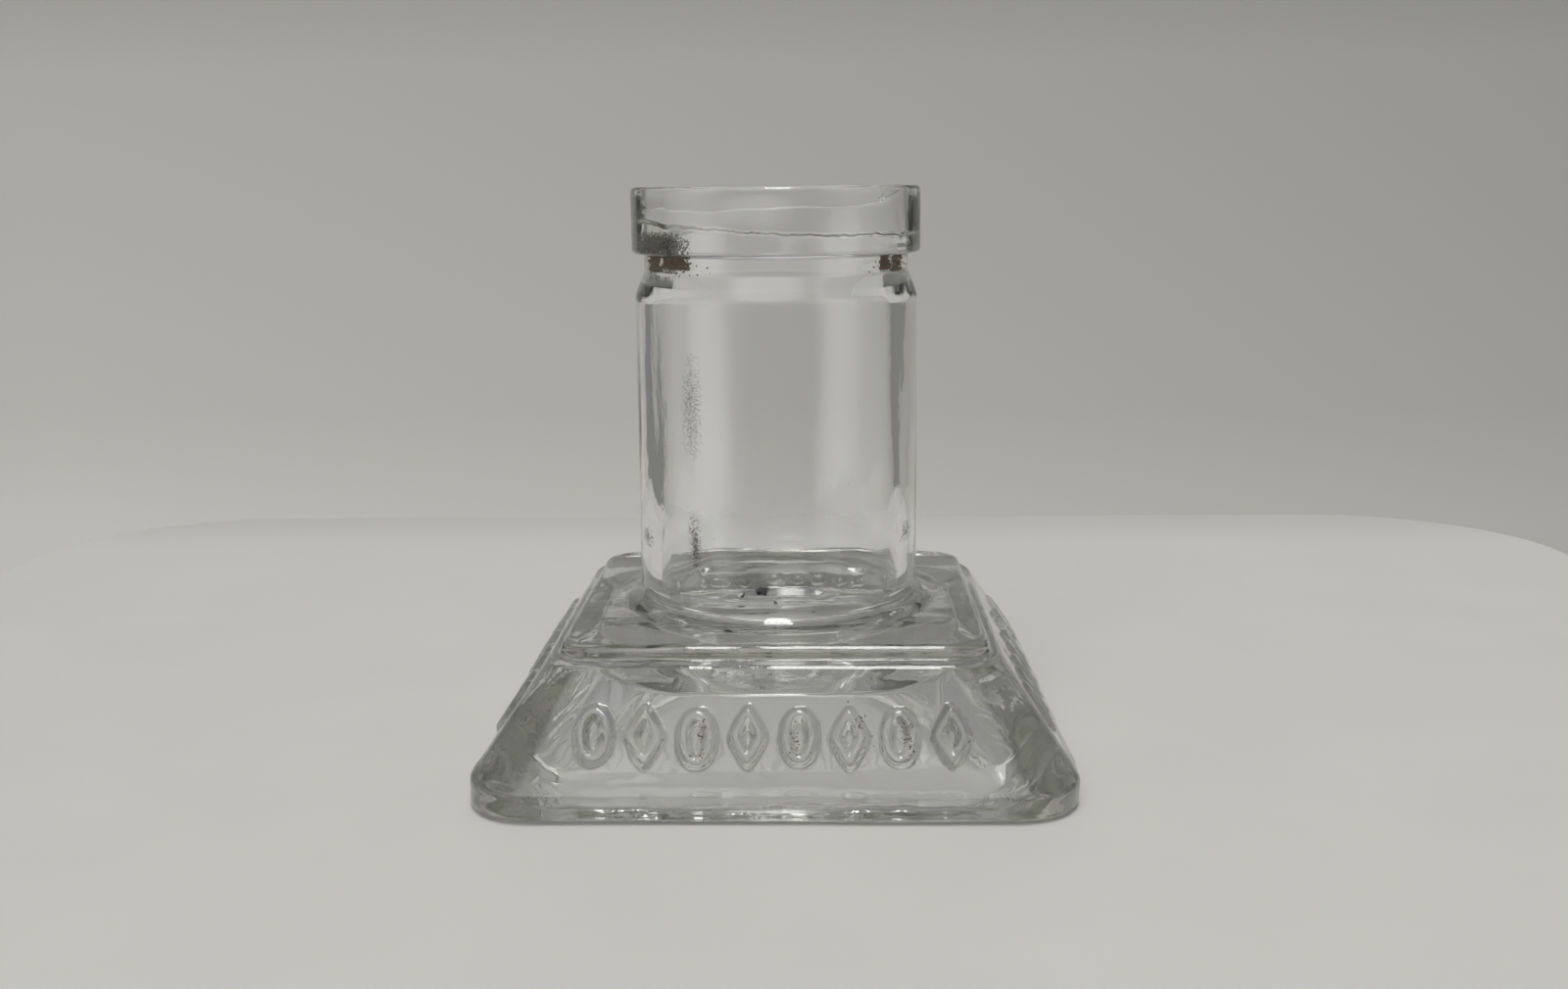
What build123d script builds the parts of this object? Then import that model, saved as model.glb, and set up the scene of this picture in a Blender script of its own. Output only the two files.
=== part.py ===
"""Clear glass ink bottle: a round well on a square, sloping foot that is hollow underneath.

One pressed piece of glass, open at the top, with what is left of its old contents: flecks of dried
ink on the well's floor and crumbs of rust from the lost metal cap in the groove under the collar.

Millimetres, +Z up. The origin is on the bottle's axis, in the plane that it stands on.
"""
from build123d import *
import math
import os

# ---- foot: a square block with sloping sides --------------------------------------------------
FOOT_SIDE = 70.0            # across the flats where the foot meets the table
FOOT_CORNER = 8.0           # plan radius of the foot's corners
BAND_HEIGHT = 3.3           # upright band round the bottom edge
SLOPE_TOP_SIDE = 52.8       # across the flats at the top of the sloping sides
SLOPE_TOP_CORNER = 5.0
SLOPE_TOP_Z = 16.0
STEP_SIDE = 50.6            # low step that carries the well, at its bottom edge
STEP_TOP_SIDE = 49.8
STEP_CORNER = 4.5
DECK_Z = 17.9               # flat top of the step
DECK_EDGE_ROUND = 0.8
FOOT_EDGE_ROUND = 1.0

# ---- hollow under the foot --------------------------------------------------------------------
WALL = 6.4                  # thickness of the sloping walls, square to their faces
HOLLOW_CORNER = 6.0         # plan radius of the hollow's corners at the bottom
HOLLOW_TOP_CORNER = 14.5    # and at its flat top, which is nearly round
HOLLOW_TOP_Z = 10.5
HOLLOW_TOP_ROUND = 0.7
RIM_HEIGHT = 3.0            # upright inner face of the ring that it stands on
RIM_INNER_ROUND = 2.0

# ---- well, neck groove and collar -------------------------------------------------------------
WELL_RADIUS = 17.7          # outside of the round wall
COVE_RADIUS = 20.6          # outer edge of the cove that joins the wall to the deck
COVE_Z = 19.7               # and its top, where the wall stands up from it in a crease
WELL_BORE = 15.2
WELL_FLOOR_Z = 13.9
WELL_FLOOR_ROUND = 5.0      # the floor is a cup
SHOULDER_Z = 56.6           # where the wall starts to draw in
NECK_RADIUS = 16.5
NECK_Z = 59.4
COLLAR_Z = 61.6
COLLAR_RADIUS = 18.0
RIM_Z = 69.7
COLLAR_EDGE_ROUND = 0.5
RIM_ROUND = 0.9
THROAT_Z = 60.6             # the bore widens from here up to the collar's widest inside line
THROAT_RADIUS = 16.8
THROAT_WIDE_Z = 65.0
MOUTH_RADIUS = 15.9

# ---- raised ornament on each sloping side: a row of plain rings and lozenges -------------------
ORNAMENTS_PER_SIDE = 8
ORNAMENT_PITCH = 5.75
ORNAMENT_WIDTH = 4.2
ORNAMENT_LENGTH = 6.6
ORNAMENT_STROKE = 0.95
ORNAMENT_RELIEF = 0.45
ORNAMENT_ROOT = 0.4         # how far each one is sunk into the side it grows from
ORNAMENT_Z = 9.0            # height of the row's centre line

# ---- residue ----------------------------------------------------------------------------------
# dried ink on the well's floor: x, y, length, width, thickness and turn of each fleck
INK_FLECKS = (
    (-3.3, 12.6, 1.6, 1.3, 0.40, 20),
    (-1.1, 7.4, 4.4, 0.5, 0.25, 100),
    (-5.5, 11.3, 1.6, 0.35, 0.15, 75),
    (-5.1, 1.2, 1.3, 0.9, 0.30, -25),
    (-3.6, -5.4, 1.6, 0.9, 0.30, 35),
    (-1.9, -4.4, 1.0, 0.6, 0.20, 10),
    (4.8, -3.8, 0.6, 0.4, 0.20, 0),
    (7.4, 4.6, 0.5, 0.4, 0.15, 50),
)
# rust in the groove: middle direction, degrees of arc, bottom, top and thickness of each crumb
RUST_CRUMBS = (
    (210.0, 13.0, 59.9, 61.5, 0.35),
    (225.5, 16.0, 60.3, 61.5, 0.25),
    (323.0, 7.0, 60.1, 61.4, 0.30),
    (332.5, 10.0, 59.8, 61.3, 0.35),
)

SLOPE_RUN = (FOOT_SIDE - SLOPE_TOP_SIDE) / 2
SLOPE_RISE = SLOPE_TOP_Z - BAND_HEIGHT
SLOPE_ANGLE = math.degrees(math.atan2(SLOPE_RISE, SLOPE_RUN))


def side_at(z):
    """Outside width across the flats of the sloping sides at height z."""
    return FOOT_SIDE - 2 * SLOPE_RUN * (z - BAND_HEIGHT) / SLOPE_RISE


def hollow_side_at(z):
    """Width across the flats of the hollow at height z, one wall thickness inside the slope."""
    return side_at(z) - 2 * WALL / math.sin(math.radians(SLOPE_ANGLE))


def rounded_square(side, corner, z):
    """A level square face with rounded corners at height z."""
    return Pos(0, 0, z) * RectangleRounded(side, side, corner)


def turned(outline):
    """Solid of revolution about +Z from a closed outline drawn in the XZ plane."""
    return revolve(make_face(outline), Axis.Z)


def edges_near(solid, z, tolerance=0.01):
    """Edges of a solid that lie wholly at height z."""
    return solid.edges().filter_by_position(Axis.Z, z - tolerance, z + tolerance)


def hollow():
    """The space under the foot: a tapered pocket, square at the bottom and nearly round on top."""
    pocket = loft([
        rounded_square(hollow_side_at(RIM_HEIGHT), HOLLOW_CORNER, RIM_HEIGHT).face(),
        rounded_square(hollow_side_at(HOLLOW_TOP_Z), HOLLOW_TOP_CORNER, HOLLOW_TOP_Z).face(),
    ], ruled=True)
    pocket = fillet(edges_near(pocket, HOLLOW_TOP_Z), HOLLOW_TOP_ROUND)
    mouth = extrude(rounded_square(hollow_side_at(RIM_HEIGHT), HOLLOW_CORNER, 0), RIM_HEIGHT)
    return pocket + mouth


def foot():
    """The square foot with its sloping sides, the step on top and the hollow underneath."""
    band = extrude(rounded_square(FOOT_SIDE, FOOT_CORNER, 0), BAND_HEIGHT)
    slope = loft([
        rounded_square(FOOT_SIDE, FOOT_CORNER, BAND_HEIGHT).face(),
        rounded_square(SLOPE_TOP_SIDE, SLOPE_TOP_CORNER, SLOPE_TOP_Z).face(),
    ], ruled=True)
    step = loft([
        rounded_square(STEP_SIDE, STEP_CORNER, SLOPE_TOP_Z).face(),
        rounded_square(STEP_TOP_SIDE, STEP_CORNER, DECK_Z).face(),
    ], ruled=True)
    step = fillet(edges_near(step, DECK_Z), DECK_EDGE_ROUND)
    band = fillet(edges_near(band, 0), FOOT_EDGE_ROUND)
    block = band + slope + step - hollow()
    reach = hollow_side_at(RIM_HEIGHT) / 2 + 0.1
    inner = [edge for edge in edges_near(block, 0)
             if max(abs(edge.center().X), abs(edge.center().Y)) < reach]
    return fillet(inner, RIM_INNER_ROUND)


def round_body():
    """Outside of the well, neck groove and collar, solid, standing on the deck."""
    root = DECK_Z - 1
    reach, rise = COVE_RADIUS - WELL_RADIUS, COVE_Z - DECK_Z
    cove = (reach ** 2 + rise ** 2) / (2 * rise)
    outline = [
        Polyline((0, root), (COVE_RADIUS, root), (COVE_RADIUS, DECK_Z)),
        RadiusArc((COVE_RADIUS, DECK_Z), (WELL_RADIUS, COVE_Z), cove),
        Line((WELL_RADIUS, COVE_Z), (WELL_RADIUS, SHOULDER_Z)),
        TangentArc((WELL_RADIUS, SHOULDER_Z), (NECK_RADIUS, NECK_Z), tangent=(0, 1)),
        Polyline((NECK_RADIUS, NECK_Z), (NECK_RADIUS, COLLAR_Z), (COLLAR_RADIUS, COLLAR_Z),
                 (COLLAR_RADIUS, RIM_Z), (0, RIM_Z), (0, root)),
    ]
    body = turned(Plane.XZ * Wire(Curve() + outline))
    body = fillet(edges_near(body, RIM_Z).filter_by(GeomType.CIRCLE), RIM_ROUND)
    lip = edges_near(body, COLLAR_Z).filter_by(GeomType.CIRCLE).sort_by(SortBy.RADIUS)[-1]
    return fillet(lip, COLLAR_EDGE_ROUND)


def bore():
    """The inside of the well, throat and mouth."""
    rounding = WELL_FLOOR_ROUND
    outline = [
        Line((0, WELL_FLOOR_Z), (WELL_BORE - rounding, WELL_FLOOR_Z)),
        RadiusArc((WELL_BORE - rounding, WELL_FLOOR_Z), (WELL_BORE, WELL_FLOOR_Z + rounding),
                  -rounding),
        Line((WELL_BORE, WELL_FLOOR_Z + rounding), (WELL_BORE, THROAT_Z)),
        Polyline((WELL_BORE, THROAT_Z), (THROAT_RADIUS, THROAT_WIDE_Z),
                 (MOUTH_RADIUS, RIM_Z - RIM_ROUND)),
        RadiusArc((MOUTH_RADIUS, RIM_Z - RIM_ROUND), (MOUTH_RADIUS + RIM_ROUND, RIM_Z),
                  RIM_ROUND),
        Polyline((MOUTH_RADIUS + RIM_ROUND, RIM_Z), (MOUTH_RADIUS + RIM_ROUND, RIM_Z + 1),
                 (0, RIM_Z + 1), (0, WELL_FLOOR_Z)),
    ]
    return turned(Plane.XZ * Wire(Curve() + outline))


def ornament_outline(lozenge):
    """One ornament: a ring shaped as an oval or as a lozenge with soft corners."""
    inner_width = ORNAMENT_WIDTH - 2 * ORNAMENT_STROKE
    inner_length = ORNAMENT_LENGTH - 2 * ORNAMENT_STROKE
    if not lozenge:
        ring = Ellipse(ORNAMENT_WIDTH / 2, ORNAMENT_LENGTH / 2)
        return ring - Ellipse(inner_width / 2, inner_length / 2)
    half_w, half_l = ORNAMENT_WIDTH / 2, ORNAMENT_LENGTH / 2
    shrink = 1 - ORNAMENT_STROKE * math.hypot(1 / half_w, 1 / half_l)
    diamond = Polygon((-half_w, 0), (0, -half_l), (half_w, 0), (0, half_l))
    return diamond - scale(diamond, shrink)


def ornament_row():
    """The raised row on the front side, sunk a little way into it."""
    y = -side_at(ORNAMENT_Z) / 2
    tilt = math.radians(SLOPE_ANGLE)
    outward = (0, -math.sin(tilt), math.cos(tilt))
    face = Plane(origin=(0, y, ORNAMENT_Z), x_dir=(1, 0, 0), z_dir=outward)
    first = -(ORNAMENTS_PER_SIDE - 1) / 2
    row = []
    for place in range(ORNAMENTS_PER_SIDE):
        outline = Pos((first + place) * ORNAMENT_PITCH, 0) * ornament_outline(place % 2 == 1)
        root = face.offset(-ORNAMENT_ROOT) * outline
        row += extrude(root, ORNAMENT_ROOT + ORNAMENT_RELIEF, dir=outward).solids()
    return row


def glass_bottle():
    """The whole pressed piece of glass."""
    bottle = foot() + round_body() - bore()
    ornaments = []
    for quarter in range(4):
        ornaments += [Rot(0, 0, 90 * quarter) * ornament for ornament in ornament_row()]
    return bottle + ornaments


def on_floor(x, y, half_length):
    """The plane that a chip lies in: square to the cup at (x, y), lifted so its ends stay clear."""
    out = math.hypot(x, y)
    tilt = math.asin(max(out - (WELL_BORE - WELL_FLOOR_ROUND), 0) / WELL_FLOOR_ROUND)
    inward = -math.sin(tilt) / out
    lift = half_length ** 2 / (2 * WELL_FLOOR_ROUND) if tilt > 0 else 0
    height = WELL_FLOOR_Z + WELL_FLOOR_ROUND * (1 - math.cos(tilt)) + lift
    return Plane(origin=(x, y, height), x_dir=(math.cos(tilt), 0, -inward * x),
                 z_dir=(inward * x, inward * y, math.cos(tilt)))


def dried_ink_flecks():
    """Thin chips of dried ink lying on the well's floor, each a separate solid."""
    chips = []
    for x, y, length, width, thickness, turn in INK_FLECKS:
        chip = Rot(0, 0, turn) * extrude(Ellipse(length / 2, width / 2), thickness)
        chips.append(on_floor(x, y, length / 2) * chip)
    return Compound(children=chips)


def rust_crumbs():
    """Crumbs of rust clinging to the groove under the collar, each a separate solid."""
    crumbs = []
    for middle, arc, bottom, top, thickness in RUST_CRUMBS:
        section = Plane.XZ * Pos(NECK_RADIUS + thickness / 2, (bottom + top) / 2) \
            * Rectangle(thickness, top - bottom)
        crumb = revolve(section, Axis.Z, arc)
        crumbs.append(Rot(0, 0, middle - arc / 2) * crumb)
    return Compound(children=crumbs)


os.makedirs("parts", exist_ok=True)
for name, build in (("glass_bottle", glass_bottle),
                    ("dried_ink_flecks", dried_ink_flecks),
                    ("rust_crumbs", rust_crumbs)):
    export_step(build(), f"parts/{name}.step")
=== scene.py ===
"""Looks of the ink bottle: wavy pressed glass with a hollow sloping foot, and dried ink, rust and
dirt on it, on a pale table top. The glass is one closed mesh, built as rings of points from the
middle of the underside, out and up round the outside, over the rim and down the bore to the
well's floor.
"""
import bpy
import math
import numpy as np
from mathutils import Matrix, Vector, noise
from mathutils.bvhtree import BVHTree


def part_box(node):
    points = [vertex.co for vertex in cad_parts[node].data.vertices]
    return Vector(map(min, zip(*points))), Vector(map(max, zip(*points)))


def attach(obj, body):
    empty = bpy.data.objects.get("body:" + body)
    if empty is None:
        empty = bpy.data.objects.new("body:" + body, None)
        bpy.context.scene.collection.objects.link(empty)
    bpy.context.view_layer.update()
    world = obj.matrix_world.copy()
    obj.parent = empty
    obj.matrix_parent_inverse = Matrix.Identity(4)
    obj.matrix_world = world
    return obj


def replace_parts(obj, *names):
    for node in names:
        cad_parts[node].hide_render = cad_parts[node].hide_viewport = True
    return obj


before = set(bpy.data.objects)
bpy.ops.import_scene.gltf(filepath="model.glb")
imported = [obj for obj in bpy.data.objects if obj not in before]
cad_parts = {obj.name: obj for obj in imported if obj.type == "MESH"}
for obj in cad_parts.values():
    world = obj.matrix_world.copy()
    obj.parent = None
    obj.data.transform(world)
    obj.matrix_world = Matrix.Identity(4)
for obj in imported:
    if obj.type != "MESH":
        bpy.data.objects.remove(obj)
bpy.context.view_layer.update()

MM = 0.001
GLASS_LOW, GLASS_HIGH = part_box("glass_bottle")
SEED = 11

# ---- sizes of the glass in millimetres: the CAD model's own -----------------------------------
FOOT_HALF = (GLASS_HIGH.x - GLASS_LOW.x) / 2 / MM
RIM_Z = GLASS_HIGH.z / MM
FOOT_CORNER = 8.0
BAND_Z = 3.3
SLOPE_TOP_HALF = 26.4
SLOPE_TOP_CORNER = 5.0
SLOPE_TOP_Z = 16.0
STEP_HALF = 25.3
STEP_TOP_HALF = 24.9
STEP_CORNER = 4.5
DECK_Z = 17.9

WALL = 6.4
HOLLOW_CORNER = 6.0
HOLLOW_TOP_CORNER = 14.5
HOLLOW_TOP_Z = 10.5
HOLLOW_TOP_ROUND = 0.7
RIM_HEIGHT = 3.0
RIM_ROUND = 2.2

WELL_RADIUS = 17.7
WELL_BORE = 15.2
WELL_FLOOR_Z = 13.9
WELL_FLOOR_ROUND = 5.0
COVE_RADIUS = 20.6
COVE_Z = 19.7
SHOULDER_Z = 56.6
NECK_RADIUS = 16.5
NECK_Z = 59.4
COLLAR_Z = 61.6
COLLAR_RADIUS = 18.0
MOUTH_RADIUS = 15.9
LEDGE_Z = 65.0
LEDGE_RADIUS = 16.8
THROAT_Z = 59.5
RIM_MIDDLE = MOUTH_RADIUS + 0.9             # where the outside meets the bore, on top of the rim

# radii of the rounded corners of each outline, in the order in which the outline meets them
UNDER_ROUNDS = (HOLLOW_TOP_ROUND, 1.5, RIM_ROUND)
FOOT_ROUNDS = (1.3, 1.6, 1.3, 0.5, 1.7)
WELL_ROUNDS = (2.6, 1.2, 0.3, 0.55, 0.8)
BORE_ROUNDS = (0.9, 0.5, 0.6, 6.0, WELL_FLOOR_ROUND)
DECK_FLAT_HALF = STEP_TOP_HALF - 2.6        # where the deck's rounded edge ends and its flat begins

# how far the surface swells and dips: the broad hills of each surface, then smaller features
WALL_WAVE, BORE_WAVE, UNDER_WAVE, FOOT_WAVE = 0.13, 0.17, 0.13, 0.09
CUP_SHARE = 0.4                             # how much of it is left in the cup of the well's floor
FINE_WAVE = 0.3                             # the fine hills, as a share of the broad ones
LOW_STREAKS = 0.22                          # level streaks low on the foot
RIM_LUMPS = 0.17                            # lumps along the standing ring, inside
EDGE_LUMPS = 0.10                           # and outside
EDGE_LIFT = 0.22                            # how far the outer bottom edge lifts off the table
BROAD_HILL, FINE_HILL, STREAK_HILL = 7.0, 3.2, 1.6
WELL_DRAWN, FOOT_DRAWN = 0.18, 0.8          # below 1, the hills are drawn out upwards

POCKET_SLOPE = 0.14                         # rise of the hollow's top towards each corner
POCKET_START, POCKET_END = 20.0, 23.5       # |x| + |y| where it begins, and radius where it ends
EVEN_Z = 54.0                               # above it the bore's back widens evenly to the mouth
LEDGE_DROP = 1.15                           # how far the ledge falls towards its low side
LEDGE_LOW_SIDE = math.radians(-40)
LEDGE_REACH = 3.6                           # how far above and below the ledge its fall is felt

SLOPE = (FOOT_HALF - SLOPE_TOP_HALF) / (SLOPE_TOP_Z - BAND_Z)
SLOPE_TILT = math.atan2(SLOPE_TOP_Z - BAND_Z, FOOT_HALF - SLOPE_TOP_HALF)

ORNAMENTS = 8
ORNAMENT_PITCH = 5.75
ORNAMENT_HALF = (1.45, 2.65)                # half width and half length of each ring's centre line
ORNAMENT_STROKE = 0.78                      # half width of the raised stroke
ORNAMENT_RELIEF = (0.80, 0.50, 0.60, 0.50)  # on the front, right, back and left
ORNAMENT_Z = 9.0
ORNAMENT_ZONE = (5.2, 12.8)                 # heights between which the mesh is fine
ORNAMENT_UNEVEN = (0.10, 0.12, 0.02, 0.12)  # spread in place along and up, in size and in relief

# ---- columns of the mesh ----------------------------------------------------------------------
SIDE_COLUMNS = 185
SIDE_SHARE = 0.78
CORNER_COLUMNS = 24
FINE, MEDIUM, COARSE = 1, 2, 4              # every column, every second or every fourth
FINE_STEP, FOOT_STEP, UNDER_STEP, BORE_STEP, WALL_STEP = 0.22, 0.55, 0.7, 1.3, 1.8


def column_angles():
    """Polar angles of the mesh's columns: close together across each side, wider at the corners."""
    middle = np.arctan(np.linspace(-SIDE_SHARE, SIDE_SHARE, SIDE_COLUMNS))
    corner = np.linspace(middle[-1], math.pi / 2 - middle[-1], CORNER_COLUMNS + 1)[1:-1]
    quadrant = np.concatenate([middle, corner])
    return np.concatenate([quadrant + math.radians(90 * k - 90) for k in range(4)])


ANGLES = column_angles()


def square_radius(angles, half, corner):
    """Distance from the axis to a square with rounded corners, in each direction."""
    c, s = np.abs(np.cos(angles)), np.abs(np.sin(angles))
    flat = half / np.maximum(c, s)
    along = np.minimum(c, s) * flat
    reach = (half - corner) * (c + s)
    rounded = reach + np.sqrt(np.maximum(reach ** 2 - 2 * (half - corner) ** 2 + corner ** 2, 0))
    return np.where(along <= half - corner, flat, rounded)


def fillet(points, radii, steps=6):
    """A polyline in (radius, height) with its corners rounded; the ends have no radius."""
    path = [points[0]]
    for before, here, after, radius in zip(points, points[1:], points[2:], radii):
        p, q, s = (np.array(x, float) for x in (before, here, after))
        u, v = (p - q) / np.linalg.norm(p - q), (s - q) / np.linalg.norm(s - q)
        half_angle = math.acos(float(np.clip(u @ v, -1, 1))) / 2
        setback = min(radius / math.tan(half_angle),
                      0.49 * np.linalg.norm(p - q), 0.49 * np.linalg.norm(s - q))
        if radius <= 0 or setback < 1e-4:
            path.append(here)
            continue
        r = setback * math.tan(half_angle)
        centre = q + (u + v) / np.linalg.norm(u + v) * r / math.sin(half_angle)
        start, end = q + u * setback - centre, q + v * setback - centre
        a, b = math.atan2(start[1], start[0]), math.atan2(end[1], end[0])
        turn = (b - a + math.pi) % (2 * math.pi) - math.pi
        for t in np.linspace(0, 1, steps):
            path.append((centre[0] + r * math.cos(a + turn * t),
                         centre[1] + r * math.sin(a + turn * t)))
    path.append(points[-1])
    return path


def spaced(path, step):
    """The same polyline with no stretch longer than step."""
    out = [path[0]]
    for p, q in zip(path, path[1:]):
        count = max(1, math.ceil(math.dist(p, q) / step))
        out += [(p[0] + (q[0] - p[0]) * k / count, p[1] + (q[1] - p[1]) * k / count)
                for k in range(1, count + 1)]
    return out


def ease(t):
    """0 to 1, smoothly."""
    t = np.clip(t, 0.0, 1.0)
    return t * t * (3 - 2 * t)


class Rings:
    """Points of the glass, ring by ring, and the surface that each point is on."""

    def __init__(self):
        self.points, self.surface = [], []

    def add(self, half, corner, z, stride, surface):
        """A ring that is a square with rounded corners, or a circle where corner is half."""
        angles = ANGLES[::stride]
        radius = square_radius(angles, half, max(min(corner, half), 0.02))
        heights = np.full(len(angles), z)
        self.points.append(np.stack([radius * np.cos(angles), radius * np.sin(angles), heights], 1))
        self.surface += [surface] * len(angles)

    def faces(self):
        """Quads between rings of one spacing, triangles where the spacing halves or doubles."""
        faces, start = [], 0
        for lower, upper in zip(self.points, self.points[1:]):
            n, m, top = len(lower), len(upper), start + len(lower)
            if n == m:
                faces += [(start + k, start + (k + 1) % n, top + (k + 1) % n, top + k)
                          for k in range(n)]
            elif n > m:
                for k in range(m):
                    a, b, c = (start + (2 * k + j) % n for j in range(3))
                    d, e = top + k, top + (k + 1) % m
                    faces += [(a, b, d), (b, e, d), (b, c, e)]
            else:
                for k in range(n):
                    a, b = start + k, start + (k + 1) % n
                    c, d, e = (top + (2 * k + j) % m for j in range(3))
                    faces += [(a, d, c), (a, b, d), (b, e, d)]
            start = top
        return faces


def slope_half(z):
    """Half width of the sloping sides at height z."""
    return FOOT_HALF - SLOPE * (z - BAND_Z)


def hollow_half(z):
    """Half width of the hollow at height z."""
    return slope_half(z) - WALL / math.sin(SLOPE_TILT)


def underside(rings):
    """From the middle of the hollow's flat top, down its sides, to the standing ring."""
    top_half, low_half = hollow_half(HOLLOW_TOP_Z), hollow_half(RIM_HEIGHT)
    for t in np.linspace(0.02, 1, 16):
        half = (top_half - 1.0) * t
        corner = half + (HOLLOW_TOP_CORNER - 1.0 - half) * ease(2 * t - 1)
        rings.add(half, corner, HOLLOW_TOP_Z, COARSE, "under")
    side = fillet([(top_half - 1.0, HOLLOW_TOP_Z), (top_half, HOLLOW_TOP_Z), (low_half, RIM_HEIGHT),
                   (low_half + 0.4, 0.0), (FOOT_HALF - 2.2, 0.0)], UNDER_ROUNDS, steps=8)
    for half, z in spaced(side, UNDER_STEP)[1:]:
        t = (HOLLOW_TOP_Z - z) / (HOLLOW_TOP_Z - RIM_HEIGHT)
        corner = HOLLOW_TOP_CORNER + (HOLLOW_CORNER - HOLLOW_TOP_CORNER) * min(t, 1)
        stride = MEDIUM if z < RIM_HEIGHT + 1.4 else COARSE
        rings.add(half, corner + max(half - low_half, 0) * 0.4, z, stride, "under")


def foot_outside(rings):
    """From the standing ring up the band and the sloping sides, over the step and on to the deck."""
    outline = fillet([(FOOT_HALF - 2.0, 0.0), (FOOT_HALF, 0.0), (FOOT_HALF, BAND_Z),
                      (SLOPE_TOP_HALF, SLOPE_TOP_Z), (STEP_HALF, SLOPE_TOP_Z + 0.15),
                      (STEP_TOP_HALF, DECK_Z), (DECK_FLAT_HALF, DECK_Z)], FOOT_ROUNDS)
    fine_low, fine_high = ORNAMENT_ZONE
    for half, z in spaced(outline, FOOT_STEP):
        if fine_low < z < fine_high:
            continue
        if z >= fine_high and rings.points[-1][0][2] < fine_high:
            for height in np.arange(fine_low, fine_high, FINE_STEP):
                rings.add(slope_half(height), slope_corner(height), height, FINE, "slope")
        surface = "under" if z < 0.02 else "foot"
        rings.add(half, slope_corner(z), z, MEDIUM, surface)
    for t in np.linspace(0, 1, 9)[1:]:
        half = DECK_FLAT_HALF + (COVE_RADIUS - DECK_FLAT_HALF) * t
        rings.add(half, STEP_CORNER + (COVE_RADIUS - STEP_CORNER) * ease(t), DECK_Z,
                  MEDIUM if t < 0.5 else COARSE, "foot")


def slope_corner(z):
    """Plan radius of the foot's corners at height z."""
    if z > SLOPE_TOP_Z:
        return STEP_CORNER
    t = max(z - BAND_Z, 0) / (SLOPE_TOP_Z - BAND_Z)
    return FOOT_CORNER + (SLOPE_TOP_CORNER - FOOT_CORNER) * t


def well_outside(rings):
    """From the deck up the round wall, shoulder, neck groove and collar to the top of the rim."""
    reach, rise = COVE_RADIUS - WELL_RADIUS, COVE_Z - DECK_Z
    cove = (reach ** 2 + rise ** 2) / (2 * rise)
    sweep = math.asin(reach / cove)
    outline = [(COVE_RADIUS - cove * math.sin(t), DECK_Z + cove * (1 - math.cos(t)))
               for t in np.linspace(0, sweep, 9)[:-1]]
    outline += fillet([(WELL_RADIUS, COVE_Z), (WELL_RADIUS - 0.05, SHOULDER_Z),
                       (NECK_RADIUS, NECK_Z), (NECK_RADIUS, COLLAR_Z),
                       (COLLAR_RADIUS, COLLAR_Z + 0.05), (COLLAR_RADIUS - 0.03, RIM_Z),
                       (RIM_MIDDLE, RIM_Z)], WELL_ROUNDS, steps=7)
    for radius, z in spaced(outline, WALL_STEP)[1:]:
        rings.add(radius, radius, z, COARSE, "wall")


def bore(rings):
    """From the rim down the mouth, over the ledge and down the well to its floor."""
    outline = fillet([(RIM_MIDDLE, RIM_Z), (MOUTH_RADIUS, RIM_Z - 0.1),
                      (LEDGE_RADIUS, LEDGE_Z + 0.15), (LEDGE_RADIUS - 0.55, LEDGE_Z - 0.1),
                      (WELL_BORE, THROAT_Z - 4.0), (WELL_BORE - 0.1, WELL_FLOOR_Z + 0.1),
                      (0.4, WELL_FLOOR_Z)], BORE_ROUNDS, steps=7)
    for radius, z in spaced(outline, BORE_STEP)[1:]:
        rings.add(radius, radius, z, COARSE, "bore")


# ---- shape of the real glass: not quite true, not quite smooth --------------------------------
def wave(points, size, seed):
    """Smooth noise from -1 to 1 at each point, with hills about size millimetres across."""
    shift = Vector((seed * 7.3, seed * 3.1, seed * 5.7))
    return np.array([noise.noise(Vector(p) / size + shift) for p in points])


def pocket(points):
    """How far the hollow's flat top rises towards each corner."""
    out = np.abs(points[:, :2])
    inside = ease((POCKET_END - np.hypot(out[:, 0], out[:, 1])) / 3.0)
    diagonal = ease((out.min(1) - 6.5) / 3.5)
    return POCKET_SLOPE * np.maximum(out.sum(1) - POCKET_START, 0) * diagonal * inside


def slant_ledge(points):
    """The ledge inside the collar: ragged and falling to the right in front, fading out behind."""
    angle = np.arctan2(points[:, 1], points[:, 0])
    behind = ease((np.sin(angle) + 0.5) / 0.7)
    radius = np.hypot(points[:, 0], points[:, 1])
    z = points[:, 2]
    even = WELL_BORE + (MOUTH_RADIUS - WELL_BORE) * ease((z - EVEN_Z) / (RIM_Z - EVEN_Z))
    inside = behind * ease((z - 56.0) / 2) * ease((RIM_Z - 0.9 - z) / 1.0)
    points[:, :2] *= (1 + inside * (even / np.maximum(radius, 1.0) - 1))[:, None]

    ring = np.stack([np.cos(angle), np.sin(angle), 0 * angle], 1)
    drop = LEDGE_DROP * np.cos(angle - LEDGE_LOW_SIDE) - 0.15
    drop += 0.30 * wave(ring * 8, 1.7, 5) + 0.16 * wave(ring * 16, 0.8, 6)
    near = ease(1 - np.abs(z - LEDGE_Z) / LEDGE_REACH)
    points[:, 2] -= drop * near
    return points


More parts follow.
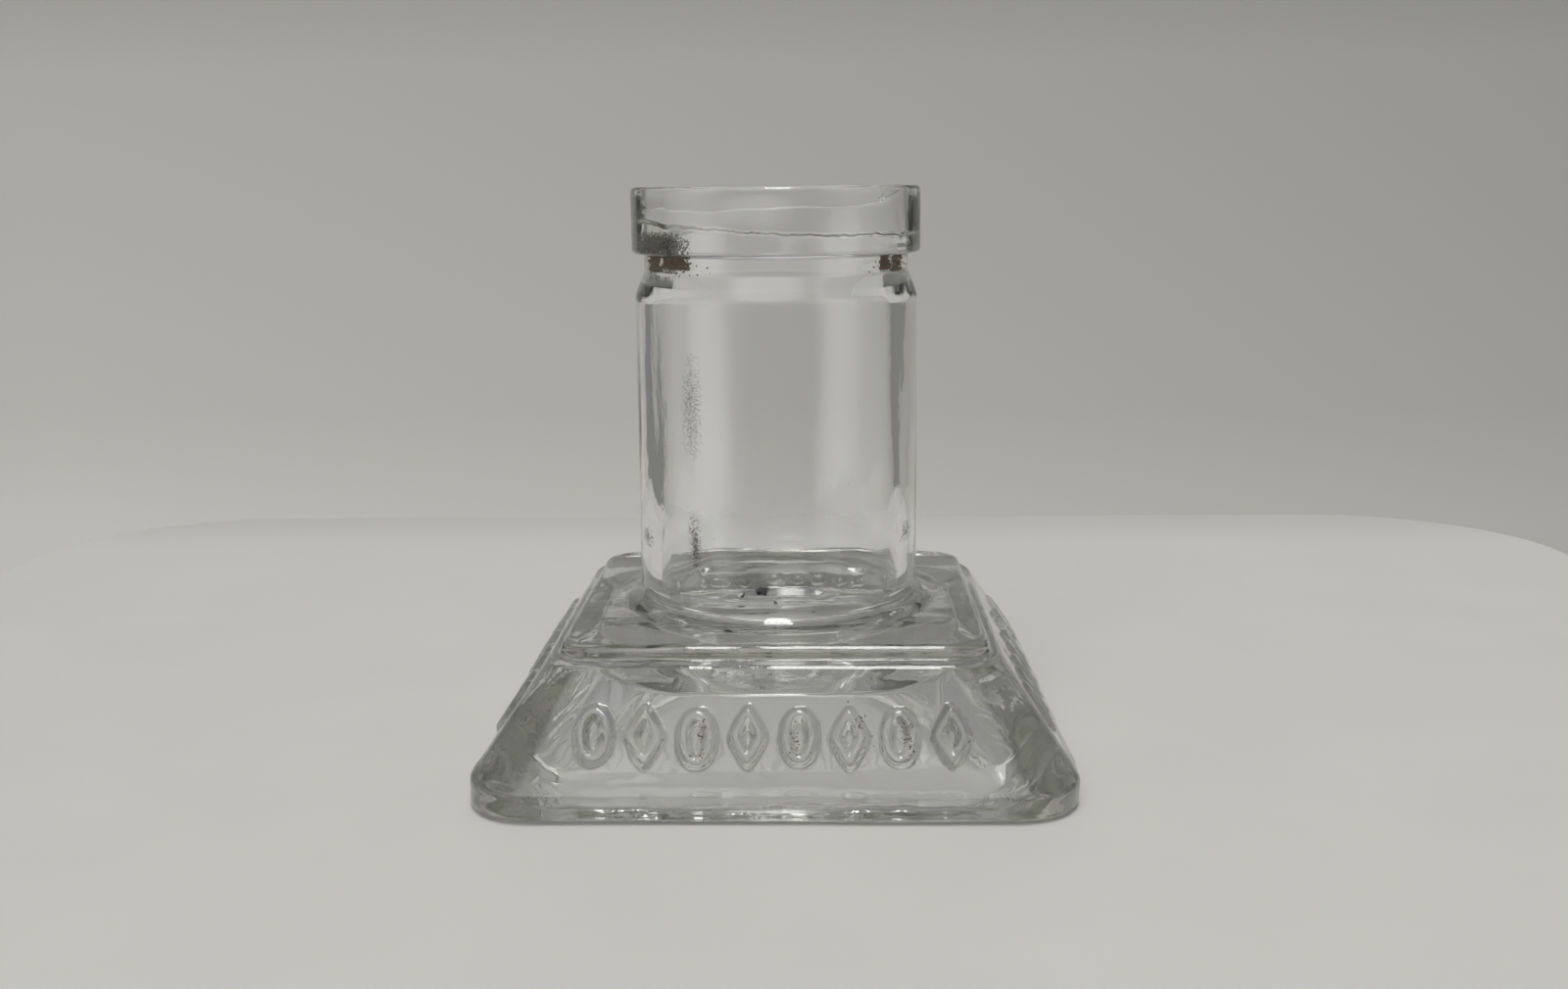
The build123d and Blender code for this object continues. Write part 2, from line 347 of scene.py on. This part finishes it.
def lumpy_rim(points, surface):
    """Height of the lumps along the ring that the bottle stands on, inside and outside."""
    z = points[:, 2]
    here = (surface == "under") * ease((z - 0.4) / 0.8) * ease((RIM_HEIGHT + 1.6 - z) / 1.4)
    inner = RIM_LUMPS * here * (wave(points, 1.9, SEED + 3) + 0.6 * wave(points, 5.0, SEED + 4))
    here = (surface == "foot") * ease((z - 1.8) / 1.0) * ease((5.6 - z) / 1.6)
    return inner + EDGE_LUMPS * here * wave(points * (0.6, 0.6, 1), 1.7, SEED + 6)


def uneven_edge(points):
    """How far the outer bottom edge rises off the table in places."""
    out = np.max(np.abs(points[:, :2]), axis=1)
    here = ease((out - FOOT_HALF + 3.0) / 2.4) * ease((2.2 - points[:, 2]) / 2.2)
    return EDGE_LIFT * here * (1 + wave(points * (1, 1, 0), 11.0, SEED + 5))


def ornament_relief(along, up, rng):
    """Height of the raised ornament at distances along and up one sloping side, 0 to 1."""
    relief = np.zeros_like(along)
    first = -(ORNAMENTS - 1) / 2
    for place in range(ORNAMENTS):
        shift, lift, size, strength = rng.normal(0, ORNAMENT_UNEVEN)
        x = (along - (first + place) * ORNAMENT_PITCH - shift) / (1 + size)
        y = (up - lift) / (1 + size)
        width, length = ORNAMENT_HALF
        power = 2.0 if place % 2 == 0 else 1.15
        reach = (np.abs(x / width) ** power + np.abs(y / length) ** power) ** (1 / power)
        grow = np.hypot(np.abs(x / width) ** (power - 1) / width,
                        np.abs(y / length) ** (power - 1) / length)
        grow *= np.maximum(reach, 0.05) ** (1 - power)
        off = np.abs(reach - 1) / np.maximum(grow, 0.15)
        rounded = np.maximum(1 - (off / ORNAMENT_STROKE) ** 3, 0) ** 0.6
        relief = np.maximum(relief, (1 + strength) * rounded)
    return relief


def raise_ornament(points, rng):
    """Points of the sloping sides, with a row of plain rings and lozenges raised on each side."""
    for side in range(4):
        turn = math.radians(90 * side)
        c, s = math.cos(turn), math.sin(turn)
        along = points[:, 0] * c + points[:, 1] * s
        out = points[:, 0] * s - points[:, 1] * c
        mine = out > np.abs(along) * 1.02
        up = (points[mine, 2] - ORNAMENT_Z) / math.sin(SLOPE_TILT)
        height = ORNAMENT_RELIEF[side] * ornament_relief(along[mine], up, rng)
        normal = np.array([s * math.sin(SLOPE_TILT), -c * math.sin(SLOPE_TILT),
                           math.cos(SLOPE_TILT)])
        points[mine] += height[:, None] * normal
    return points


def swelling(points, surface):
    """How far the surface stands off its true shape at each point."""
    well = (surface == "wall") | (surface == "bore")
    drawn = points * np.stack([np.ones(len(points)), np.ones(len(points)),
                               np.where(well, WELL_DRAWN, FOOT_DRAWN)], 1)
    swell = wave(drawn, BROAD_HILL, SEED) + FINE_WAVE * wave(drawn, FINE_HILL, SEED + 1)
    amount = np.select([surface == "wall", surface == "bore", surface == "under"],
                       [WALL_WAVE, BORE_WAVE, UNDER_WAVE], FOOT_WAVE)
    amount = np.where(points[:, 2] < 0.6, 0.0, amount)
    cup = (surface == "bore") & (points[:, 2] < WELL_FLOOR_Z + 9.0)
    amount = np.where(cup, CUP_SHARE * amount, amount)

    streak = wave(points * (0.12, 0.12, 1.0), STREAK_HILL, SEED + 2)
    low = ease((6.0 - points[:, 2]) / 2.5) * (points[:, 2] > 0.6)
    return amount * swell + LOW_STREAKS * low * streak + lumpy_rim(points, surface)


def shape_glass(points, normals, surface):
    """The points of the real, uneven glass, from those of the true shape."""
    shaped = points + normals * swelling(points, surface)[:, None]
    shaped[:, 2] += uneven_edge(points)
    ceiling = (surface == "under") & (points[:, 2] > HOLLOW_TOP_Z - 1.5)
    shaped[ceiling, 2] += pocket(shaped[ceiling])
    in_bore = surface == "bore"
    shaped[in_bore] = slant_ledge(shaped[in_bore])
    slope = surface == "slope"
    shaped[slope] = raise_ornament(shaped[slope], np.random.default_rng(SEED))
    return shaped


def glass_mesh():
    """The whole bottle as one closed mesh, in metres."""
    rings = Rings()
    underside(rings)
    foot_outside(rings)
    well_outside(rings)
    bore(rings)
    points = np.concatenate(rings.points)
    surface = np.array(rings.surface)
    faces = rings.faces()
    last = len(points)
    first_ring, end_ring = len(rings.points[0]), len(rings.points[-1])
    points = np.vstack([points, rings.points[0].mean(0), rings.points[-1].mean(0)])
    faces += [(last, (k + 1) % first_ring, k) for k in range(first_ring)]
    faces += [(last + 1, last - end_ring + k, last - end_ring + (k + 1) % end_ring)
              for k in range(end_ring)]
    surface = np.append(surface, ["under", "bore"])

    mesh = bpy.data.meshes.new("glass_bottle_visual")
    mesh.from_pydata(points.tolist(), [], faces)
    normals = np.zeros(len(points) * 3)
    mesh.vertices.foreach_get("normal", normals)
    normals = normals.reshape(-1, 3)

    shaped = shape_glass(points, normals, surface)
    mesh.vertices.foreach_set("co", (shaped * MM).ravel())
    mesh.update()
    mesh.shade_smooth()
    return mesh


# ---- sizes of the table and wall, in millimetres ----------------------------------------------
TABLE_HALF_WIDTH = 147.0
TABLE_FRONT, TABLE_BACK = -78.0, 137.0
TABLE_CORNER, TABLE_CORNER_STEPS = 38.0, 16
TABLE_GAP = 0.02            # keeps the glass clear of the table's face
TABLE_THICKNESS = 20.0
WALL_Y = 750.0
WALL_HALF_WIDTH, WALL_LOW, WALL_HIGH = 620.0, -800.0, 300.0


# ---- materials --------------------------------------------------------------------------------
GLASS_IOR = 1.51
GLASS_TINT, GLASS_DENSITY = (0.795, 0.802, 0.765, 1), 36.0      # absorption, per metre
GLASS_ROUGHEST = 0.03
TABLE_COLOUR = (0.59, 0.586, 0.562)
# painted shade: the table's colour is darkened over this span towards its far edge
TABLE_PAINTED_SHADE_SPAN = (TABLE_BACK - 32.0, TABLE_BACK + 3.0)      # where the table dims towards its far edge
TABLE_FAR_PAINTED_SHADE = 0.86                      # and the share of its colour that is left there
# painted light on the wall: how pale it is at heights in metres, from below the table's edge to its
# top
WALL_PAINTED_LIGHT = ((-0.13, 0.655), (-0.06, 0.565), (0.14, 0.49), (0.23, 0.335))
WALL_TINT = (1.0, 0.992, 0.95)
# painted light: the wall's colour is made paler at its left end and darker at its right
WALL_ENDS, WALL_PAINTED_LIGHT_ACROSS = (-0.45, 0.45), (1.06, 0.80)    # factors on that at its left and right


def new_material(name):
    """A material with its node tree, its shader and the socket that gives places on the object."""
    material = bpy.data.materials.new(name)
    material.use_nodes = True
    tree = material.node_tree
    place = tree.nodes.new("ShaderNodeTexCoord").outputs["Object"]
    return material, tree, tree.nodes["Principled BSDF"], place


def noise_texture(tree, place, scale, detail):
    """Noise over the surface; returns its value."""
    node = tree.nodes.new("ShaderNodeTexNoise")
    node.inputs["Scale"].default_value = scale
    node.inputs["Detail"].default_value = detail
    tree.links.new(place, node.inputs["Vector"])
    return node.outputs["Fac"]


def map_range(tree, value, before, after, smooth=False):
    """A value brought from one range to another."""
    node = tree.nodes.new("ShaderNodeMapRange")
    if smooth:
        node.interpolation_type = "SMOOTHSTEP"
    for name, number in zip(("From Min", "From Max", "To Min", "To Max"), before + after):
        node.inputs[name].default_value = number
    tree.links.new(value, node.inputs["Value"])
    return node.outputs["Result"]


def colour_ramp(tree, value, stops):
    """Colours along a value, from two or more (position, colour) stops in order."""
    node = tree.nodes.new("ShaderNodeValToRGB")
    elements = node.color_ramp.elements
    for position, _ in stops[1:-1]:
        elements.new(position)
    for element, (position, colour) in zip(elements, stops):
        element.position = position
        element.color = (*colour, 1)
    tree.links.new(value, node.inputs["Fac"])
    return node.outputs["Color"]


def scaled(tree, colour, factor):
    """A colour made darker or lighter by a factor."""
    node = tree.nodes.new("ShaderNodeVectorMath")
    node.operation = "SCALE"
    tree.links.new(colour, node.inputs["Vector"])
    tree.links.new(factor, node.inputs["Scale"])
    return node.outputs["Vector"]


def roughen(tree, shader, height, strength, distance):
    """Small relief on a shader's surface."""
    node = tree.nodes.new("ShaderNodeBump")
    node.inputs["Strength"].default_value = strength
    node.inputs["Distance"].default_value = distance
    tree.links.new(height, node.inputs["Height"])
    tree.links.new(node.outputs["Normal"], shader.inputs["Normal"])


def glass_material():
    """Clear glass with a faint grey-green depth, smudges and the fine ripple of a mould."""
    material, tree, shader, place = new_material("clear_glass")
    shader.inputs["Base Color"].default_value = (1, 1, 1, 1)
    shader.inputs["IOR"].default_value = GLASS_IOR
    shader.inputs["Transmission Weight"].default_value = 1.0
    smudge = noise_texture(tree, place, scale=160.0, detail=6.0)
    rough = map_range(tree, smudge, (0.45, 0.75), (0.0, GLASS_ROUGHEST))
    tree.links.new(rough, shader.inputs["Roughness"])

    stretch = tree.nodes.new("ShaderNodeMapping")
    stretch.inputs["Scale"].default_value = (0.9, 0.9, 0.25)
    tree.links.new(place, stretch.inputs["Vector"])
    ripple = noise_texture(tree, stretch.outputs["Vector"], scale=700.0, detail=3.0)
    roughen(tree, shader, ripple, strength=0.06, distance=0.0003)

    depth = tree.nodes.new("ShaderNodeVolumeAbsorption")
    depth.inputs["Color"].default_value = GLASS_TINT
    depth.inputs["Density"].default_value = GLASS_DENSITY
    tree.links.new(depth.outputs["Volume"], tree.nodes["Material Output"].inputs["Volume"])
    return material


def residue_material(name, dark, light, roughness):
    """A dry crust: two colours broken up by noise, with a grainy surface."""
    material, tree, shader, place = new_material(name)
    shader.inputs["Roughness"].default_value = roughness
    grain = noise_texture(tree, place, scale=1800.0, detail=5.0)
    tree.links.new(colour_ramp(tree, grain, ((0, dark), (1, light))), shader.inputs["Base Color"])
    roughen(tree, shader, grain, strength=0.5, distance=0.0001)
    return material


def wall_material():
    """The plain wall, with painted light: paler towards its foot and its left end."""
    material, tree, shader, place = new_material("wall")
    shader.inputs["Roughness"].default_value = 0.9
    shader.inputs["Specular IOR Level"].default_value = 0.1
    split = tree.nodes.new("ShaderNodeSeparateXYZ")
    tree.links.new(place, split.inputs["Vector"])
    low, high = WALL_PAINTED_LIGHT[0][0], WALL_PAINTED_LIGHT[-1][0]
    rise = map_range(tree, split.outputs["Z"], (low, high), (0.0, 1.0))
    stops = [((height - low) / (high - low), [shade * c for c in WALL_TINT])
             for height, shade in WALL_PAINTED_LIGHT]
    across = map_range(tree, split.outputs["X"], WALL_ENDS, WALL_PAINTED_LIGHT_ACROSS)
    # painted light: the wall's colour is paler low down and towards its left end
    colour = scaled(tree, colour_ramp(tree, rise, stops), across)
    tree.links.new(colour, shader.inputs["Base Color"])
    return material


def table_material():
    """The table's plain top: a slight mottle, and painted shade a little darker along its far edge.
    """
    material, tree, shader, place = new_material("table")
    shader.inputs["Roughness"].default_value = 0.55
    mottle = noise_texture(tree, place, scale=40.0, detail=5.0)
    darker = [0.97 * c for c in TABLE_COLOUR]
    plain = colour_ramp(tree, mottle, ((0.3, darker), (0.7, TABLE_COLOUR)))
    split = tree.nodes.new("ShaderNodeSeparateXYZ")
    tree.links.new(place, split.inputs["Vector"])
    # painted shade: the colour darkens towards the table's far edge
    far_painted_shade = map_range(tree, split.outputs["Y"], tuple(y * MM for y in TABLE_PAINTED_SHADE_SPAN),
                     (1.0, TABLE_FAR_PAINTED_SHADE), smooth=True)
    tree.links.new(scaled(tree, plain, far_painted_shade), shader.inputs["Base Color"])
    return material


def add_object(name, mesh, material):
    """An object in the scene with one material."""
    piece = bpy.data.objects.new(name, mesh)
    bpy.context.scene.collection.objects.link(piece)
    mesh.materials.append(material)
    return piece


# ---- residue: grains and chips on the glass ---------------------------------------------------
# rust on the glass: seen from the axis ("in"), from outside ("out") or from the front; middle and
# half width (degrees, or millimetres on the front), bottom and top, grains, grain size
STAINS = (
    ("in", 232.5, 3.4, 24.0, 31.0, 700, 0.055),
    ("in", 233.0, 1.6, 24.5, 28.5, 240, 0.06),
    ("out", 220, 22, 59.3, 61.3, 130, 0.13),
    ("out", 327, 12, 59.3, 61.3, 60, 0.13),
    ("front", 15.1, 0.7, 7.2, 10.9, 60, 0.11),
    ("front", 2.4, 0.6, 7.6, 10.2, 26, 0.10),
    ("front", -8.0, 0.5, 7.4, 11.0, 40, 0.10),
    ("front", 9.6, 0.8, 9.8, 11.2, 30, 0.10),
)
# grey-brown dirt, given the same way
GRIME = (
    ("in", 212, 20, 61.7, 64.2, 3000, 0.12),
    ("in", 232, 5.0, 38.0, 49.5, 1700, 0.05),
    ("in", 196, 6, 25.4, 27.6, 400, 0.07),
    ("in", 343, 6, 26.0, 28.4, 300, 0.07),
)
# scattered black specks, given the same way
SPECKS = (
    ("in", 223, 6, 62.2, 63.8, 700, 0.10),
    ("front", 0, 24, 4.8, 13.0, 16, 0.09),
    ("in", 270, 70, 22.0, 58.0, 30, 0.07),
)
PATCH_REACH = 1.2                           # how far grains stray, in half widths of their patch
FRONT_START, SIDE_START = -60.0, 25.0       # where lines towards the glass begin, outside it
GRAIN_UNEVEN, GRAIN_FLATNESS = (0.5, 1.3), 0.45
CHIP_HALF_THICKNESS, CHIP_CORNERS, CHIP_RAGGED = 0.12, 15, (0.55, 1.1)
CHIP_CRUMBS, CRUMB_SPREAD, CRUMB_SIZES = 5, 0.35, (0.05, 0.16)
RUST_GRAINS, RUST_GRAIN_SIZE = 9, 0.26      # grains for each degree of a crumb's half width
GRAIN = np.array([(1, 0, 0), (-1, 0, 0), (0, 1, 0), (0, -1, 0), (0, 0, 1), (0, 0, -1)], float)
GRAIN_FACES = ((0, 2, 4), (2, 1, 4), (1, 3, 4), (3, 0, 4),
               (2, 0, 5), (1, 2, 5), (3, 1, 5), (0, 3, 5))


class Crust:
    """A mesh of many small closed grains and chips, in millimetres."""

    def __init__(self, rng):
        self.rng = rng
        self.points, self.faces = [], []
        self.count = 0

    def add(self, points, faces):
        """One closed lump."""
        start = self.count
        self.count += len(points)
        self.points.append(points)
        self.faces += [tuple(start + corner for corner in face) for face in faces]

    def grain(self, place, normal, size):
        """An uneven grain, flattened against the surface that it sits on."""
        across = np.cross(normal, self.rng.normal(size=3))
        across /= np.linalg.norm(across)
        axes = np.stack([across, np.cross(normal, across), normal])
        reach = size * self.rng.uniform(*GRAIN_UNEVEN, (6, 1)) * (1, 1, GRAIN_FLATNESS)
        self.add(place + (GRAIN * reach) @ axes, GRAIN_FACES)

    def chip(self, solid):
        """A thin ragged chip with the place, length and width of a plain solid."""
        middle = solid.mean(0)
        axes = np.linalg.svd(solid - middle, full_matrices=False)[2]
        half = np.abs((solid - middle) @ axes.T).max(0)
        turns = np.linspace(0, 2 * math.pi, CHIP_CORNERS, endpoint=False)
        reach = self.rng.uniform(*CHIP_RAGGED, CHIP_CORNERS)
        rim = middle + (np.cos(turns) * reach * half[0])[:, None] * axes[0] \
            + (np.sin(turns) * reach * half[1])[:, None] * axes[1]
        rim += self.rng.normal(0, 0.03, (CHIP_CORNERS, 1)) * axes[2]
        above, below = middle + CHIP_HALF_THICKNESS * axes[2], middle - CHIP_HALF_THICKNESS * axes[2]
        faces = []
        for k in range(CHIP_CORNERS):
            after = (k + 1) % CHIP_CORNERS
            faces += [(k, after, CHIP_CORNERS), (after, k, CHIP_CORNERS + 1)]
        self.add(np.vstack([rim, above, below]), faces)

    def mesh(self, name):
        """The finished mesh, in metres."""
        mesh = bpy.data.meshes.new(name)
        mesh.from_pydata((np.vstack(self.points) * MM).tolist(), [], self.faces)
        return mesh


def solids(node):
    """The points of each separate solid in a CAD node, in millimetres."""
    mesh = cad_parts[node].data
    group = list(range(len(mesh.vertices)))

    def root(index):
        while group[index] != index:
            index = group[index]
        return index

    for edge in mesh.edges:
        a, b = (root(index) for index in edge.vertices)
        group[a] = b
    found = {}
    for index, vertex in enumerate(mesh.vertices):
        found.setdefault(root(index), []).append(np.array(vertex.co) / MM)
    return [np.array(points) for points in found.values()]


def on_glass(skin, kind, across, height):
    """Where a line towards the glass first meets it, and the surface's direction there."""
    if kind == "front":
        start, towards = Vector((across, FRONT_START, height)), Vector((0, 1, 0))
    else:
        turn = math.radians(across)
        outward = Vector((math.cos(turn), math.sin(turn), 0))
        axis = Vector((0, 0, height))
        start, towards = axis, outward
        if kind == "out":
            start, towards = axis + outward * SIDE_START, -outward
    place, normal, _, _ = skin.ray_cast(start * MM, towards)
    return np.array(place) / MM, np.array(normal)


def scatter(crust, skin, patches):
    """Grains over each patch, thinning out towards its ragged edge."""
    rng = crust.rng
    for kind, middle, half, bottom, top, count, size in patches:
        level, rise = (bottom + top) / 2, (top - bottom) / 2
        for _ in range(count):
            across = middle + half * rng.triangular(-PATCH_REACH, 0, PATCH_REACH)
            height = level + rise * rng.triangular(-PATCH_REACH, 0, PATCH_REACH)
            place, normal = on_glass(skin, kind, across, height)
            crust.grain(place, normal, size * rng.uniform(0.4, 1.5))


def ink_flecks(rng):
    """Ragged chips of dried ink where the CAD model has its plain ones, with crumbs beside them."""
    crust = Crust(rng)
    for solid in solids("dried_ink_flecks"):
        crust.chip(solid)
        for _ in range(CHIP_CRUMBS):
            place = solid[rng.integers(len(solid))] + rng.normal(0, CRUMB_SPREAD, 3) * (1, 1, 0.1)
            crust.grain(place, np.array((0, 0, 1.0)), rng.uniform(*CRUMB_SIZES))
    return crust


def rust_crumbs(skin, rng):
    """Crumbs of rust packed into the groove where the CAD model has its plain ones."""
    crust = Crust(rng)
    for solid in solids("rust_crumbs"):
        turns = np.degrees(np.arctan2(solid[:, 1], solid[:, 0]))
        middle, half = (turns.max() + turns.min()) / 2, (turns.max() - turns.min()) / 2
        low, high = solid[:, 2].min(), solid[:, 2].max()
        patch = ("out", middle, half, low, high, int(RUST_GRAINS * half), RUST_GRAIN_SIZE)
        scatter(crust, skin, [patch])
    return crust


def add_crust(name, crust, material):
    """A piece made of grains, on the bottle's own body."""
    piece = add_object(name, crust.mesh(name), material)
    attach(piece, "root")
    return piece


# ---- the object -------------------------------------------------------------------------------
glass = add_object("glass_bottle_visual", glass_mesh(), glass_material())
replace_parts(glass, "glass_bottle")
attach(glass, "root")
skin = BVHTree.FromPolygons([v.co for v in glass.data.vertices],
                            [tuple(p.vertices) for p in glass.data.polygons])
ink = residue_material("dried_ink", (0.004, 0.004, 0.006), (0.03, 0.03, 0.035), 0.6)
rust = residue_material("rust", (0.05, 0.046, 0.037), (0.20, 0.155, 0.115), 0.9)
dirt = residue_material("grime", (0.09, 0.09, 0.075), (0.30, 0.29, 0.25), 0.9)
rng = np.random.default_rng(SEED + 1)
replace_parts(add_crust("dried_ink_chips", ink_flecks(rng), ink), "dried_ink_flecks")
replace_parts(add_crust("rust_grains", rust_crumbs(skin, rng), rust), "rust_crumbs")
for name, patches, material, slot in (("rust_stains", STAINS, rust, "rust"),
                                      ("grime", GRIME, dirt, "rust"),
                                      ("ink_specks", SPECKS, ink, "dried_ink")):
    layer = Crust(rng)
    scatter(layer, skin, patches)
    add_crust(name, layer, material)


# ---- table top, wall and light ----------------------------------------------------------------
LAMP_PLACE, LAMP_SIZE = (0.04, -0.45, 1.45), (0.28, 0.9)        # metres
LAMP_POWER = 10.0
BACKGROUND_COLOUR = (1.0, 0.995, 0.985, 1)
AMBIENT = 0.19
# soft bright areas all round: direction, angle from its middle to the end of its core and to its
# own end, in degrees, and strength
GLOWS = (
    ((-0.90, -0.42, -0.20), 7, 33, 1.10),
    ((0.93, -0.37, -0.20), 8, 40, 0.66),
    ((-0.10, -0.68, 0.73), 14, 34, 2.15),
    ((-0.25, 0.10, 0.95), 20, 60, 0.12),
    ((0.02, 0.88, 0.46), 3, 8, 0.6),
)


def table_top():
    """A pale board with rounded corners."""
    outline = []
    inner = TABLE_HALF_WIDTH - TABLE_CORNER
    centres = [(inner, TABLE_BACK - TABLE_CORNER), (-inner, TABLE_BACK - TABLE_CORNER),
               (-inner, TABLE_FRONT + TABLE_CORNER), (inner, TABLE_FRONT + TABLE_CORNER)]
    for quarter, (x, y) in enumerate(centres):
        for step in range(TABLE_CORNER_STEPS + 1):
            turn = math.radians(90 * quarter + 90 * step / TABLE_CORNER_STEPS)
            outline.append((x + TABLE_CORNER * math.cos(turn), y + TABLE_CORNER * math.sin(turn)))
    count = len(outline)
    top = [(x * MM, y * MM, -TABLE_GAP * MM) for x, y in outline]
    bottom = [(x, y, z - TABLE_THICKNESS * MM) for x, y, z in top]
    faces = [tuple(range(count))]
    faces += [(k, k + count, (k + 1) % count + count, (k + 1) % count) for k in range(count)]
    mesh = bpy.data.meshes.new("table")
    mesh.from_pydata(top + bottom, [], faces)
    return mesh


def wall_sheet():
    """A plain wall behind the table."""
    mesh = bpy.data.meshes.new("wall")
    half, y, low, high = (size * MM for size in (WALL_HALF_WIDTH, WALL_Y, WALL_LOW, WALL_HIGH))
    mesh.from_pydata([(-half, y, low), (half, y, low), (half, y, high), (-half, y, high)], [],
                     [(0, 1, 2, 3)])
    return mesh


def add_lamp():
    """A soft rectangular lamp above the front of the table, pointing straight down."""
    lamp = bpy.data.lights.new("lamp", "AREA")
    lamp.shape = "RECTANGLE"
    lamp.size, lamp.size_y = LAMP_SIZE
    lamp.energy = LAMP_POWER
    holder = bpy.data.objects.new("lamp", lamp)
    holder.location = LAMP_PLACE
    bpy.context.scene.collection.objects.link(holder)


def surroundings():
    """Dim light from all round, with soft brighter areas to the sides, in front and above."""
    world = bpy.data.worlds.new("surroundings")
    bpy.context.scene.world = world
    world.use_nodes = True
    tree = world.node_tree
    place = tree.nodes.new("ShaderNodeTexCoord").outputs["Generated"]
    total = None
    for direction, core, end, strength in GLOWS:
        facing = tree.nodes.new("ShaderNodeVectorMath")
        facing.operation = "DOT_PRODUCT"
        tree.links.new(place, facing.inputs[0])
        facing.inputs[1].default_value = Vector(direction).normalized()
        edges = math.cos(math.radians(end)), math.cos(math.radians(core))
        base = AMBIENT if total is None else 0.0
        glow = map_range(tree, facing.outputs["Value"], edges, (base, base + strength), smooth=True)
        if total is None:
            total = glow
            continue
        add = tree.nodes.new("ShaderNodeMath")
        tree.links.new(total, add.inputs[0])
        tree.links.new(glow, add.inputs[1])
        total = add.outputs["Value"]
    background = tree.nodes["Background"]
    background.inputs["Color"].default_value = BACKGROUND_COLOUR
    tree.links.new(total, background.inputs["Strength"])


add_object("table", table_top(), table_material())
add_object("wall", wall_sheet(), wall_material())
add_lamp()
surroundings()

# ---- camera -----------------------------------------------------------------------------------
CAMERA_PLACE = (5.4, -203.9, 69.4)      # millimetres
CAMERA_TURN = math.radians(-1.30)       # to the right of +Y
CAMERA_DOWN = math.radians(10.72)
CAMERA_ROLL = math.radians(-0.48)
CAMERA_LENS = 37.1


def add_camera():
    """The camera, from its place and its turn, tilt and roll."""
    camera = bpy.data.cameras.new("camera")
    camera.sensor_width = 36.0
    camera.lens = CAMERA_LENS
    camera.clip_start = 0.01
    holder = bpy.data.objects.new("camera", camera)
    ahead = Vector((math.sin(CAMERA_TURN) * math.cos(CAMERA_DOWN),
                    math.cos(CAMERA_TURN) * math.cos(CAMERA_DOWN), -math.sin(CAMERA_DOWN)))
    level = Vector((math.cos(CAMERA_TURN), -math.sin(CAMERA_TURN), 0))
    above = level.cross(ahead)
    right = level * math.cos(CAMERA_ROLL) + above * math.sin(CAMERA_ROLL)
    up = above * math.cos(CAMERA_ROLL) - level * math.sin(CAMERA_ROLL)
    pose = Matrix((right, up, -ahead)).transposed().to_4x4()
    pose.translation = Vector(CAMERA_PLACE) * MM
    holder.matrix_world = pose
    bpy.context.scene.collection.objects.link(holder)
    bpy.context.scene.camera = holder


add_camera()
scene = bpy.context.scene
scene.view_settings.view_transform = "Standard"
scene.cycles.max_bounces = 24
scene.cycles.transmission_bounces = 24
scene.cycles.caustics_refractive = True
scene.cycles.caustics_reflective = True
scene.cycles.use_denoising = True
scene.cycles.sample_clamp_indirect = 2.0
scene.cycles.glossy_bounces = 24
scene.cycles.diffuse_bounces = 6
